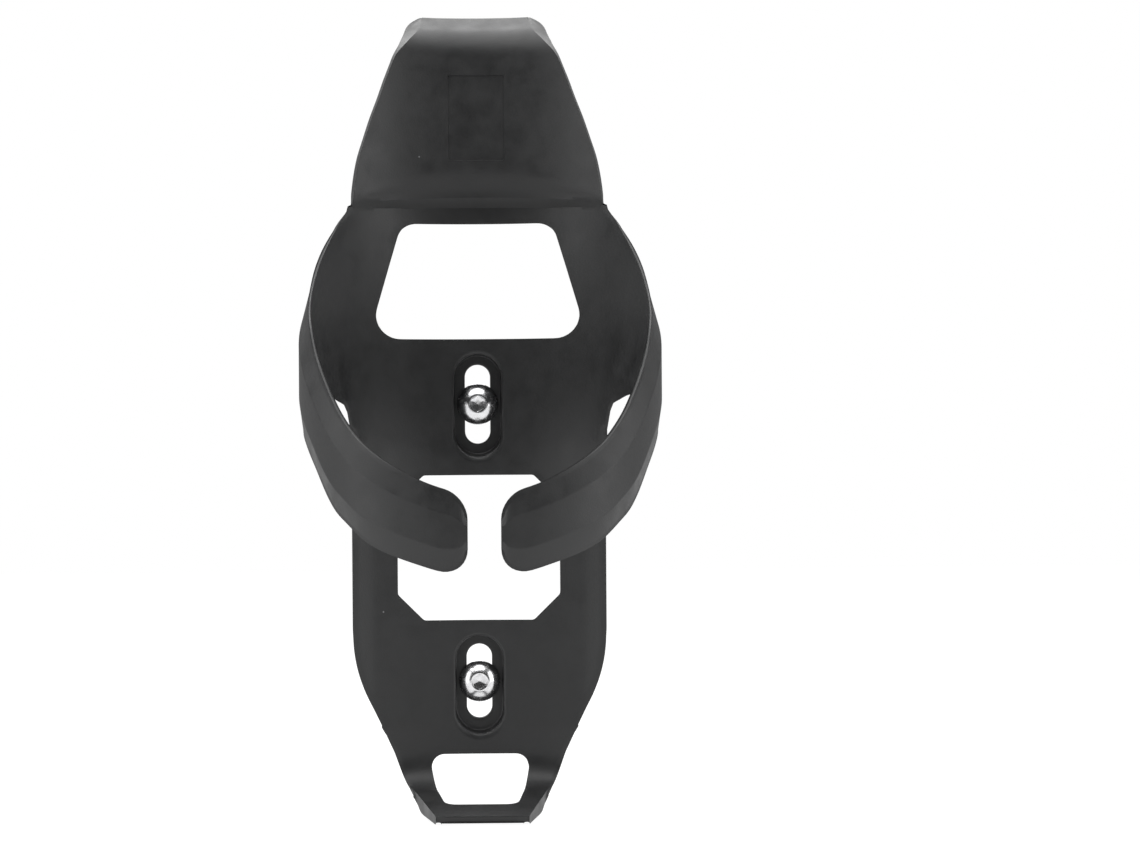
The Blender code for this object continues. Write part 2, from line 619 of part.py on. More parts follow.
def principled(name, color, metallic, roughness):
    material = bpy.data.materials.new(name)
    material.use_nodes = True
    shader = material.node_tree.nodes["Principled BSDF"]
    shader.inputs["Base Color"].default_value = (*color, 1.0)
    shader.inputs["Metallic"].default_value = metallic
    shader.inputs["Roughness"].default_value = roughness
    return material


def main():
    for thing in list(bpy.data.objects):
        bpy.data.objects.remove(thing)
    nylon = principled("black nylon", (0.022, 0.022, 0.023), 0.0, 0.5)
    steel = principled("bright steel", (0.72, 0.72, 0.73), 1.0, 0.25)
    build_cage(nylon)
    build_screw("upper_screw", SLOT_SPACING / 2, steel)
    build_screw("lower_screw", -SLOT_SPACING / 2, steel)


main()
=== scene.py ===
from math import asin, atan2, cos, copysign, degrees, hypot, pi, radians, sin, sqrt, tan

import bmesh
import bpy
import numpy as np
from mathutils import Matrix, Vector


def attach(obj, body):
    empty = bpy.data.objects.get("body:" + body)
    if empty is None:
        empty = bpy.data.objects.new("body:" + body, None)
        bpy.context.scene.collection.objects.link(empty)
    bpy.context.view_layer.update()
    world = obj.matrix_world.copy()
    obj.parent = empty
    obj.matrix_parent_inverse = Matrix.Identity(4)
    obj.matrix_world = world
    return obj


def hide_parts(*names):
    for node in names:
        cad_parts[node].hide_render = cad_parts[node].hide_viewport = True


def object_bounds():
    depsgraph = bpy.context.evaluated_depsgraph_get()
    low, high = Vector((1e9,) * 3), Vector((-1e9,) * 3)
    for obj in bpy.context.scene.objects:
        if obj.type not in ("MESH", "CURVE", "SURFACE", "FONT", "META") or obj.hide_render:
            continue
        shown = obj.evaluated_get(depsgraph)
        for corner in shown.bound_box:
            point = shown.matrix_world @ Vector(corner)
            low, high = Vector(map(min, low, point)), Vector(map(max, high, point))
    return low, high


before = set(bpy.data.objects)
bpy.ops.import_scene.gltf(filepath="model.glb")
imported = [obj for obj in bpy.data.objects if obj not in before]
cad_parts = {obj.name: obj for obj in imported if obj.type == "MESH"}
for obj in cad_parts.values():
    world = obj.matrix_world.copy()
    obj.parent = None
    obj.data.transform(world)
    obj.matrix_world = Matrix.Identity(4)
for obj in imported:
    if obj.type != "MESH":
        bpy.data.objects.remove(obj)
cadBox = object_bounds()
mm = 0.001      # lengths below are in millimetres, and meshes are in metres


# the cage is laid out flat: s is the height on its plate, and the length past a bend
bottle = {"radius": 37.0}
plate = {"y": -5.5, "halfWidth": 28.6, "thickness": 2.3, "edgeThinning": 0.9, "edgeReach": 3.6,
         "leastBack": 0.75, "creaseX": 24.3, "stripTilt": 0.13, "lowerConcavity": 0.38,
         "concavityFrom": 0.0, "concavityTo": 24.0}
shelf = {"bendStart": -47.7, "bendRadius": 8.7, "bendAngle": radians(80), "length": 19.75,
         "shoulder": 15.1, "lipHalfWidth": 10.5, "lipThickness": 1.6, "draft": 0.6, "leastWall": 0.02,
         "skirt": [(57.5, 0.0), (59.5, 0.6), (61.2, 1.4), (63.0, 2.1), (65.3, 2.8), (67.6, 2.8), (71.3, 2.4),
                   (75.0, 2.0), (79.6, 1.5)]}
tab = {"corner": 76.4, "ledgeBottom": 77.2, "ledgeTop": 79.4, "ledgeBlend": 85.2, "cornerGap": 1.2,
       "step": 3.5, "ledgeStep": 2.5, "radius": 44.0, "thickness": 2.0, "rollStart": 111.0, "rollRadius": 9.0,
       "rollAngle": radians(55), "rollLength": 4.9, "rim": 1.5, "rimTurn": 0.2, "rimNarrowing": 0.4}
arm = {"tipGap": 7.85, "cornerRadius": 4.5, "lowCornerRadius": 5.4, "rootLow": 26.0, "rootCorner": 14.0,
       "crown": 2.7, "tipThinning": 0.6, "edgeFrom": radians(60), "crownFrom": radians(70),
       "radialFrom": radians(72), "facetFade": 25,
       "topThickness": [(50.6, 0.9), (72, 0.9), (82, 0.7), (95, 0.7), (120, 1.0), (174.2, 1.1)],
       "lowThickness": [(50.6, 1.0), (70, 1.2), (93, 1.8), (102, 1.6), (120, 1.4), (131, 1.2), (174.2, 1.1)],
       "creases": (0.27, 0.73), "facetEnd": 160.0,
       "topEdge": [(50.6, 76.4), (66, 66.6), (79, 58.7), (90, 52.9), (100, 47.9), (106, 43.6),
                   (115, 37.4), (127, 28.8), (139, 22.2), (158, 15.5), (174.2, 12.0)],
       "lowEdge": [(50.6, 26.0), (53, 31.2), (57, 32.9), (66, 34.2), (79, 31.0), (93, 26.5),
                   (111, 19.2), (125, 9.8), (131, 7.0), (142, 2.4), (162, -2.1), (174.2, -4.1)]}
slots = {"spacing": 64.0, "width": 5.85, "upperLength": 18.2, "lowerLength": 17.2, "recessWidth": 12.4,
         "upperRecess": (44.4, 18.4, 0.35), "lowerRecess": (-20.65, -45.4, 0.0), "floorY": -2.5,
         "bossWall": 0.8, "rimFillet": 0.7, "collar": 1.05, "lowerRamp": 1.25}
panel = {"halfWidth": 6.4, "bottom": 87.8, "top": 107.4, "step": 0.2, "corner": 0.3, "edge": 0.12}

bendEnd = shelf["bendStart"] - shelf["bendRadius"] * shelf["bendAngle"]
lipFront = bendEnd - shelf["length"]
rollEnd = tab["rollStart"] + tab["rollRadius"] * tab["rollAngle"]
tabTop = rollEnd + tab["rollLength"]
rootAngle = asin(plate["halfWidth"] / bottle["radius"])
tipAngle = pi - asin(arm["tipGap"] / 2 / bottle["radius"])
tabOutline = [(tab["corner"], 28.4), (83.6, 27.45), (88.2, 26.55), (92.8, 25.15), (97.5, 23.65),
              (102.1, 21.95), (106.7, 20.35), (111.3, 18.5), (113.0, 17.4), (115.2, 15.6), (119.0, 13.2),
              (tabTop, 12.2)]
wallOut = [(tab["corner"], 0.1), (80.0, 0.6), (106.0, 0.65), (111.0, 0.7), (113.6, 1.2), (116.2, 2.0),
           (119.3, 2.8), (121.5, 2.4), (123.3, 1.3), (tabTop, 0.3)]
wallBack = [(tab["corner"], 0.8), (80.0, 3.0), (106.0, 3.3), (113.0, 3.1), (119.0, 1.9), (122.0, 1.0),
            (tabTop, 0.3)]
plateTaper = [(shelf["bendStart"], 19.4), (-43.1, 21.4), (-38.5, 23.55), (-33.9, 25.75), (-29.3, 27.35),
              (-24.7, 28.25), (-19.5, plate["halfWidth"])]


def interpolate(value, points):
    # a smooth curve through (position, height) pairs, level past its ends
    if value <= points[0][0]:
        return points[0][1]
    for index in range(len(points) - 1):
        (x0, y0), (x1, y1) = points[index], points[index + 1]
        if value <= x1:
            before = points[max(index - 1, 0)]
            after = points[min(index + 2, len(points) - 1)]
            slope0 = (y1 - before[1]) / (x1 - before[0])
            slope1 = (after[1] - y0) / (after[0] - x0)
            step = x1 - x0
            part = (value - x0) / step
            return (y0 * (1 + 2 * part) * (1 - part) ** 2 + slope0 * step * part * (1 - part) ** 2
                    + y1 * part ** 2 * (3 - 2 * part) + slope1 * step * part ** 2 * (part - 1))
    return points[-1][1]


def smoothStep(low, high, value):
    part = min(max((value - low) / (high - low), 0.0), 1.0)
    return part * part * (3 - 2 * part)


def centreLine(s):
    # forward and up from the plate's centre line; s is the height on the plate and the length past it
    if s < shelf["bendStart"]:
        turned = min((shelf["bendStart"] - s) / shelf["bendRadius"], shelf["bendAngle"])
        straight = max(bendEnd - s, 0.0)
        return (shelf["bendRadius"] * (1 - cos(turned)) + straight * sin(shelf["bendAngle"]),
                shelf["bendStart"] - shelf["bendRadius"] * sin(turned) - straight * cos(shelf["bendAngle"]))
    if s > tab["rollStart"]:
        turned = min((s - tab["rollStart"]) / tab["rollRadius"], tab["rollAngle"])
        straight = max(s - rollEnd, 0.0)
        return (-tab["rollRadius"] * (1 - cos(turned)) - straight * sin(tab["rollAngle"]),
                tab["rollStart"] + tab["rollRadius"] * sin(turned) + straight * cos(tab["rollAngle"]))
    return 0.0, s


def bow(radius, x):
    return radius - sqrt(radius * radius - x * x)


def halfWidth(s):
    if s > tab["corner"]:
        return interpolate(s, tabOutline)
    if s < bendEnd:
        narrowing = shelf["lipHalfWidth"] - shelf["shoulder"]
        return shelf["shoulder"] + narrowing * (bendEnd - s) / shelf["length"]
    if s < shelf["bendStart"]:
        part = (shelf["bendStart"] - s) / (shelf["bendStart"] - bendEnd)
        return plateTaper[0][1] + (shelf["shoulder"] - plateTaper[0][1]) * part
    return interpolate(s, plateTaper)


def ledgeArch(x):
    return 1 - (x / plate["halfWidth"]) ** 2


def frontPoint(x, s):
    forward, height = centreLine(s)
    if s > tab["corner"] - 1:
        arch = ledgeArch(x)
        bottom = tab["corner"] + (tab["ledgeBottom"] - tab["corner"]) * arch
        top = tab["corner"] + tab["cornerGap"] + (tab["ledgeTop"] - tab["corner"] - tab["cornerGap"]) * arch
        share = tab["ledgeStep"] / tab["step"]
        step = min(max((s - bottom) / (top - bottom), 0.0), 1.0) * share
        step += smoothStep(top, top + 1.0 + (tab["ledgeBlend"] - tab["ledgeTop"]) * arch, s) * (1 - share)
        forward += bow(bottle["radius"], x) * (1 - step) + (tab["step"] + bow(tab["radius"], x)) * step
    else:
        rise = smoothStep(plate["concavityFrom"], plate["concavityTo"], s)
        concavity = plate["lowerConcavity"] + (1 - plate["lowerConcavity"]) * rise
        concavity *= smoothStep(shelf["bendStart"] - 9.0, shelf["bendStart"] + 6.0, s)
        strip = max(abs(x) - plate["creaseX"], 0.0) * plate["stripTilt"] * (1 - rise)
        forward += concavity * bow(bottle["radius"], x) + strip
    return Vector((x, plate["y"] - forward, height))


def backDirection(x, s):
    nudge = 0.3
    across = frontPoint(x + nudge, s) - frontPoint(x - nudge, s)
    along = frontPoint(x, s + nudge) - frontPoint(x, s - nudge)
    return along.cross(across).normalized()


def wallVector(side, s):
    # the side walls turn back on the tab and down under the shelf; there are none on the plate
    if s > tab["corner"]:
        return Vector((side * interpolate(s, wallOut), interpolate(s, wallBack), 0))
    return backDirection(side * halfWidth(s), s) * interpolate(-s, shelf["skirt"])


def shellThickness(s):
    if s > tab["corner"]:
        return tab["thickness"]
    thin = shelf["lipThickness"]
    return thin + (plate["thickness"] - thin) * smoothStep(lipFront, shelf["bendStart"], s)


def rootShare(s):
    # 1 where the thickness follows the bottle's radius, 0 where it points straight back
    low = smoothStep(arm["rootLow"] + arm["rootCorner"] / 2, arm["rootLow"] + 1.5 * arm["rootCorner"], s)
    return low * (1 - smoothStep(tab["corner"] - arm["rootCorner"], tab["corner"], s))


def mitre(side, s):
    # the inward part of the thickness where a side wall meets the sheet, and that wall's depth in thicknesses
    turned = wallVector(side, s)
    draft = 0.0
    if s < 0:
        draft = shelf["draft"] * smoothStep(-shelf["bendStart"] - 6, -shelf["bendStart"] + 2, -s)
    if turned.length < shelf["leastWall"]:
        return Vector((-side, 0, 0)) * tab["rim"] * draft, 0.0
    inward = Vector((-side, tab["rimTurn"], 0))
    inward = (inward - turned * (inward.dot(turned) / turned.length_squared)).normalized()
    depth = turned.length / shellThickness(s)
    return inward * tab["rim"] * max(min(depth, 1.0), draft), depth


def formPlate(x, s):
    # front point and wall vector of the plate, shelf and tab
    side = copysign(1.0, x)
    point = frontPoint(x, s)
    back = backDirection(x, s)
    direction = back
    fromEdge = abs(x) - halfWidth(s)
    if shelf["bendStart"] + 6 < s < tab["corner"]:
        share = rootShare(s)
        direction = Vector((0, 1, 0)) / max(back.y, plate["leastBack"]) * (1 - share) + back * share
    inward, depth = mitre(side, s)
    thickness = shellThickness(s)
    nearEdge = smoothStep(-plate["edgeReach"], 0.0, fromEdge)
    if depth < 1:
        fade = smoothStep(bendEnd - 2, shelf["bendStart"], s)
        thickness -= (1 - depth) * plate["edgeThinning"] * nearEdge * fade
    return point, direction * thickness + inward * nearEdge


def formWall(side, s, part):
    # part runs from 0 at the crease to 1 at the wall's edge
    point, wall = formPlate(side * halfWidth(s), s)
    turned = wallVector(side, s)
    inward, depth = mitre(side, s)
    shallow = max(1 - depth, 0.0)
    back = wall - inward
    narrowed = inward * (1 - tab["rimNarrowing"] * shallow * part)
    return point + turned * part, narrowed + back * (1 - part * (1 - shallow))


def formArm(side, angle, part):
    def rounding(radius):
        reach = max(radius - bottle["radius"] * (tipAngle - angle), 0.0)
        return radius - sqrt(max(radius ** 2 - reach ** 2, 0.0))

    turn = degrees(angle)
    low = interpolate(turn, arm["lowEdge"]) + rounding(arm["lowCornerRadius"])
    high = interpolate(turn, arm["topEdge"]) - rounding(arm["cornerRadius"])
    height = low + (high - low) * part
    grow = smoothStep(rootAngle, arm["crownFrom"], angle)
    fade = smoothStep(arm["facetEnd"] - arm["facetFade"], arm["facetEnd"], turn)
    middle = plate["thickness"] + (arm["crown"] - plate["thickness"]) * grow - arm["tipThinning"] * fade
    first, second = arm["creases"]
    pastRoot = smoothStep(rootAngle, arm["edgeFrom"], angle)
    lowWall = plate["thickness"] + (interpolate(turn, arm["lowThickness"]) - plate["thickness"]) * pastRoot
    topWall = plate["thickness"] + (interpolate(turn, arm["topThickness"]) - plate["thickness"]) * pastRoot
    wall = middle
    if part < first:
        wall = lowWall + (middle - lowWall) * part / first
    elif part > second:
        wall = topWall + (middle - topWall) * (1 - part) / (1 - second)
    outward = Vector((side * sin(angle), cos(angle), 0))
    centre = Vector((0, plate["y"] - bottle["radius"], height))
    straight = (1 - rootShare(height)) * (1 - smoothStep(rootAngle, arm["radialFrom"], angle))
    direction = outward * (1 - straight) + Vector((0, 1, 0)) * straight
    return centre + outward * bottle["radius"], direction * wall


# outlines of the windows, the slots' recesses and the panel, on the flat blank
def roundedPolygon(corners, steps=10):
    outline = []
    for index, (x, z, radius) in enumerate(corners):
        corner = Vector((x, z))
        before = (Vector(corners[index - 1][:2]) - corner).normalized()
        after = (Vector(corners[(index + 1) % len(corners)][:2]) - corner).normalized()
        half = before.angle(after) / 2
        centre = corner + (before + after).normalized() * radius / sin(half)
        start = corner + before * radius / tan(half) - centre
        turn = (pi - 2 * half) * copysign(1.0, before.y * after.x - before.x * after.y)
        for step in range(steps + 1):
            angle = turn * step / steps
            outline.append((centre.x + start.x * cos(angle) - start.y * sin(angle),
                            centre.y + start.x * sin(angle) + start.y * cos(angle)))
    return np.array(outline)


def stadium(centreZ, width, length, steps=40):
    radius, reach = width / 2, (length - width) / 2
    outline = []
    for end in (1, -1):
        for step in range(steps + 1):
            angle = pi * step / steps + (0 if end > 0 else pi)
            outline.append((radius * cos(angle), centreZ + end * reach + radius * sin(angle)))
    return np.array(outline)


windows = {"upperTop": 74.0, "upperBottom": 46.5, "upperTopHalf": 17.6, "upperBottomHalf": 25.4,
           "upperTopCorner": 5.0, "upperBottomCorner": 5.8,
           "middleTop": 16.1, "middleBottom": -18.3, "middleHalf": 19.15, "chamfer": 6.3, "middleCorner": 1.5,
           "loopTop": -48.1, "loopFront": -71.1, "loopTopHalf": 12.2, "loopFrontHalf": 8.5, "loopCorner": 3.4}


def windowOutlines():
    w = windows
    topCorner, lowCorner = w["upperTopCorner"], w["upperBottomCorner"]
    upper = [(w["upperTopHalf"], w["upperTop"], topCorner), (-w["upperTopHalf"], w["upperTop"], topCorner),
             (-w["upperBottomHalf"], w["upperBottom"], lowCorner),
             (w["upperBottomHalf"], w["upperBottom"], lowCorner)]
    wide, cut, top, bottom = w["middleHalf"], w["chamfer"], w["middleTop"], w["middleBottom"]
    middle = [(wide, top - cut), (wide - cut, top), (cut - wide, top), (-wide, top - cut),
              (-wide, bottom + cut), (cut - wide, bottom), (wide - cut, bottom), (wide, bottom + cut)]
    middle = [(x, z, w["middleCorner"]) for x, z in middle]
    loop = [(w["loopTopHalf"], w["loopTop"], w["loopCorner"]),
            (-w["loopTopHalf"], w["loopTop"], w["loopCorner"]),
            (-w["loopFrontHalf"], w["loopFront"], w["loopCorner"]),
            (w["loopFrontHalf"], w["loopFront"], w["loopCorner"])]
    return [roundedPolygon(upper), roundedPolygon(middle, 5), roundedPolygon(loop)]


def panelOutline(margin):
    wide, low, high = panel["halfWidth"] - margin, panel["bottom"] + margin, panel["top"] - margin
    corners = [(wide, high), (-wide, high), (-wide, low), (wide, low)]
    return roundedPolygon([(x, z, panel["corner"]) for x, z in corners])


def inside(points, outline):
    # even-odd test for many points at once
    hit = np.zeros(len(points), bool)
    x, z = points[:, 0], points[:, 1]
    for (x0, z0), (x1, z1) in zip(outline, np.roll(outline, -1, axis=0)):
        crosses = (z0 > z) != (z1 > z)
        if crosses.any():
            at = x0 + (z - z0) * (x1 - x0) / (z1 - z0 if z1 != z0 else 1e-9)
            hit ^= crosses & (x < at)
    return hit


def arcPositions(points, outline):
    # where along the outline each point's nearest place is, and the outline's length
    ends = np.roll(outline, -1, axis=0)
    run = ends - outline
    length = np.hypot(run[:, 0], run[:, 1])
    keep = length > 1e-9
    start, run, length = outline[keep], run[keep], length[keep]
    before = np.concatenate([[0], np.cumsum(length)[:-1]])
    along = ((points[:, None, :] - start[None]) * run[None]).sum(2) / length[None] ** 2
    along = along.clip(0, 1)
    nearest = start[None] + run[None] * along[:, :, None]
    gap = np.hypot(*(np.moveaxis(points[:, None, :] - nearest, 2, 0)))
    best = gap.argmin(1)
    rows = np.arange(len(points))
    return before[best] + along[rows, best] * length[best], length.sum()


def pointsAt(positions, outline):
    ends = np.roll(outline, -1, axis=0)
    length = np.hypot(*(ends - outline).T)
    total = np.concatenate([[0], np.cumsum(length)])
    closed = np.vstack([outline, outline[:1]])
    positions = positions % total[-1]
    return np.stack([np.interp(positions, total, closed[:, axis]) for axis in (0, 1)], 1)


def traceLoops(following):
    # closed runs from a table of each vertex's next one
    loops = []
    while following:
        start, vert = next(iter(following.items()))
        run = [start]
        del following[start]
        while vert in following:
            run.append(vert)
            vert = following.pop(vert)
        loops.append(run)
    return loops


cageMesh = {"across": 76, "rowStep": 0.8, "fineStep": 0.62, "rimRadius": 0.45, "rimSteps": 3, "armStep": 1.15,
            "tipColumns": 8, "wallColumns": 6, "relax": 12, "relaxRings": 5, "relaxPull": 0.6,
            "evenness": 0.55}


def ledgeDrop(x, row):
    # the rows bend down with the arched ledge, and are straight again a little above and below it
    side = (x / plate["halfWidth"]) ** 2
    bottom = (tab["ledgeBottom"] - tab["corner"]) * smoothStep(62.0, tab["ledgeBottom"], row)
    top = tab["ledgeTop"] - tab["corner"] - tab["cornerGap"]
    up = min(max((row - tab["ledgeBottom"]) / (tab["ledgeTop"] - tab["ledgeBottom"]), 0), 1)
    return (bottom + (top - bottom) * up) * side * smoothStep(-104.0, -tab["ledgeBlend"], -row)


def rowList():
    marks = [lipFront, bendEnd, shelf["bendStart"], windows["middleTop"], arm["rootLow"],
             windows["upperBottom"], tab["ledgeBottom"], tab["ledgeTop"], tab["ledgeBlend"], tab["rollStart"],
             rollEnd, tabTop]
    rows = [marks[0]]
    for low, high in zip(marks, marks[1:]):
        fine = windows["middleTop"] <= low < windows["upperBottom"]
        count = max(round((high - low) / cageMesh["fineStep" if fine else "rowStep"]), 2)
        rows += [low + (high - low) * step / count for step in range(1, count + 1)]
    return rows


def makeBlank(rows):
    # the flat blank: a grid whose points are then set to their place across and along
    count = cageMesh["across"]
    bpy.ops.mesh.primitive_grid_add(x_subdivisions=count, y_subdivisions=len(rows) - 1, size=2)
    blank = bpy.context.object
    blank.name = "cageBlank"
    mesh = blank.data
    for vert in mesh.vertices:
        row = rows[round((vert.co.y + 1) / 2 * (len(rows) - 1))]
        x = vert.co.x * halfWidth(row - ledgeDrop(plate["halfWidth"], row))
        vert.co = (x, row - ledgeDrop(x, row), 0)
    return blank


def landOn(blank, outline):
    # select the faces inside the outline, bring their patch's edge onto it, and relax what is round it
    mesh = blank.data
    centres = np.array([face.center[:2] for face in mesh.polygons])
    hit = inside(centres, outline)
    bpy.ops.object.mode_set(mode='EDIT')
    bpy.ops.mesh.select_mode(type='FACE')
    bpy.ops.mesh.select_all(action='DESELECT')
    bpy.ops.object.mode_set(mode='OBJECT')
    mesh.polygons.foreach_set("select", hit)
    work = bmesh.new()
    work.from_mesh(mesh)
    patch = {face for face in work.faces if face.select}
    following = {}
    for face in patch:
        for corner in face.loops:
            if not all(other in patch for other in corner.edge.link_faces):
                following[corner.vert] = corner.link_loop_next.vert
    loop = max(traceLoops(following), key=len)
    places = np.array([vert.co[:2] for vert in loop])
    along, total = arcPositions(places, outline)
    spread = np.linspace(0, total, len(loop), endpoint=False)
    turns = np.unwrap(along / total * 2 * pi) / (2 * pi) * total
    if turns[-1] < turns[0]:
        spread = -spread
    spread += (turns - spread).mean()
    even = cageMesh["evenness"]
    landed = pointsAt(turns * (1 - even) + spread * even, outline)
    for vert, place in zip(loop, landed):
        vert.co.x, vert.co.y = place
    ring = set(loop)
    for _ in range(cageMesh["relaxRings"]):
        ring |= {edge.other_vert(vert) for vert in ring for edge in vert.link_edges}
    fixed = set(loop)
    moving = [vert for vert in ring if vert not in fixed and not vert.is_boundary]
    for _ in range(cageMesh["relax"]):
        places = {}
        for vert in moving:
            around = sum((edge.other_vert(vert).co for edge in vert.link_edges), Vector())
            places[vert] = around / len(vert.link_edges)
        for vert, place in places.items():
            vert.co = vert.co.lerp(place, cageMesh["relaxPull"])
    work.to_mesh(mesh)
    work.free()


def cutHole(blank, outline):
    landOn(blank, outline)
    bpy.ops.object.mode_set(mode='EDIT')
    bpy.ops.mesh.delete(type='FACE')
    bpy.ops.object.mode_set(mode='OBJECT')


def markPanel(blank, outline):
    # the panel's outline, with a narrow border inside it that takes its small step
    landOn(blank, outline)
    bpy.ops.object.mode_set(mode='EDIT')
    bpy.ops.mesh.inset(thickness=panel["edge"], depth=0)
    bpy.ops.object.mode_set(mode='OBJECT')


def sheetFromBlank(blank, rows):
    # front points, wall vectors and faces of the whole cage
    points, walls, faces = [], [], []
    flat = np.array([vert.co[:2] for vert in blank.data.vertices])
    sunk = inside(flat, panelOutline(panel["edge"] / 2))
    for (x, s), lift in zip(flat, sunk):
        point, wall = formPlate(x, s)
        point.y += panel["step"] * lift
        points.append(point)
        walls.append(wall)
    for face in blank.data.polygons:
        faces.append(tuple(face.vertices))
    sideRow = {}
    for side in (-1, 1):
        for number, row in enumerate(rows):
            s = row - ledgeDrop(plate["halfWidth"], row)
            x = side * halfWidth(s)
            s = row - ledgeDrop(x, row)
            sideRow[side, number] = (int(np.hypot(*(flat - (x, s)).T).argmin()), s)

    def add(point, wall):
        points.append(point)
        walls.append(wall)
        return len(points) - 1

    lowRow, highRow = arm["rootLow"] - 0.01, tab["ledgeBottom"] + 0.01
    root = [number for number, row in enumerate(rows) if lowRow < row < highRow]
    span = bottle["radius"] * (tipAngle - rootAngle) - arm["cornerRadius"]
    count = round(span / cageMesh["armStep"])
    angles = [rootAngle + span / bottle["radius"] * step / count for step in range(1, count + 1)]
    tips = cageMesh["tipColumns"]
    angles += [tipAngle - arm["cornerRadius"] / bottle["radius"] * (1 - sin(pi / 2 * step / tips))
               for step in range(1, tips + 1)]
    for side in (-1, 1):
        previous = [sideRow[side, number][0] for number in root]
        for angle in angles:
            column = [add(*formArm(side, angle, step / (len(root) - 1))) for step in range(len(root))]
            for step in range(len(root) - 1):
                corners = (previous[step], column[step], column[step + 1], previous[step + 1])
                faces.append(corners if side > 0 else corners[::-1])
            previous = column

    columns = cageMesh["wallColumns"]
    for side in (-1, 1):
        previous = None
        for number, row in enumerate(rows):
            index, s = sideRow[side, number]
            if wallVector(side, s).length > shelf["leastWall"]:
                strip = [index] + [add(*formWall(side, s, step / columns)) for step in range(1, columns + 1)]
            else:
                strip = [index] * (columns + 1)
            if previous:
                for step in range(columns):
                    corners = (previous[step], previous[step + 1], strip[step + 1], strip[step])
                    corners = tuple(dict.fromkeys(corners))
                    if len(corners) > 2:
                        faces.append(corners if side > 0 else corners[::-1])
            previous = strip
    return points, walls, faces


def slotProfile():
    # rings round a slot from front to back: distance from the middle, Y, share of the end ramps
    half = slots["recessWidth"] / 2
    wall = half - slots["rimFillet"]
    boss = half + slots["bossWall"]
    hole = slots["width"] / 2
    floor = slots["floorY"]
    front = [("front", half + 0.35), ("front", half + 0.1)]
    rim = [("rim", angle) for angle in (0, 18, 36, 54, 72, 90)]
    inner = [("at", wall, floor - 1.2, 0.75), ("at", wall, floor - 0.4, 0.95),
             ("at", wall - 0.08, floor - 0.15, 1), ("at", wall - 0.3, floor, 1),
             ("at", wall - 1.2, floor, 0.7), ("at", hole + 0.5, floor, 0),
             ("at", hole + 0.22, floor, 0), ("at", hole + 0.06, floor + 0.07, 0),
             ("at", hole, floor + 0.25, 0),
             ("at", hole, floor / 2, 0), ("at", hole, -0.25, 0), ("at", hole + 0.06, -0.07, 0),
             ("at", hole + 0.22, 0, 0), ("at", boss - 2.4, 0, 0), ("at", boss - 0.5, 0, 0),
             ("at", boss - 0.2, -0.07, 0), ("at", boss, -0.3, 0)]
    back = [("back", boss, 0.5), ("back", boss + 0.08, 0.15)]
    return front + rim + inner + back


def buildSlot(loopPoints, backPoints, centreZ, slotLength, recess):
    # the recess, slot and boss as rings between the opening's front and back edges;
    # recess holds its top, its bottom and how far its floor stops short of the top
    half = slots["recessWidth"] / 2
    hole = slots["width"] / 2
    fillet = slots["rimFillet"]
    recessTop, recessLow = recess[0] - half, recess[1] + half
    slotReach = (slotLength - slots["width"]) / 2
    anchors, spokes = [], []
    for point in loopPoints:
        anchor = min(max(point.z, recessLow), recessTop)
        spokes.append(Vector((point.x, 0, point.z - anchor)).normalized())
        anchors.append((anchor - recessLow) / (recessTop - recessLow))

    def placed(index, distance, y, ramp=0.0):
        share = min(max((half - fillet - distance) / (half - fillet - hole), 0), 1)
        low = recessLow + slots["lowerRamp"] * ramp
        top = recessTop - recess[2] * ramp
        low += (centreZ - slotReach - low) * share
        top += (centreZ + slotReach - top) * share
        spot = spokes[index] * distance
        return Vector((spot.x, y, low + (top - low) * anchors[index] + spot.z))

    def surfaceY(index, distance):
        spot = placed(index, distance, 0)
        return frontPoint(spot.x, spot.z).y

    rings = []
    for kind, *values in slotProfile():
        ring = []
        for index in range(len(loopPoints)):
            if kind == "front":
                ring.append(placed(index, values[0], surfaceY(index, values[0])))
            elif kind == "rim":
                angle = radians(values[0])
                y = surfaceY(index, half) + fillet * (1 - cos(angle))
                ring.append(placed(index, half - fillet * sin(angle), y, 0.55 * sin(angle) ** 2))
            elif kind == "at":
                ring.append(placed(index, *values))
            else:
                ring.append(placed(index, values[0], backPoints[index].y + values[1]))
        rings.append(ring)
    return rings


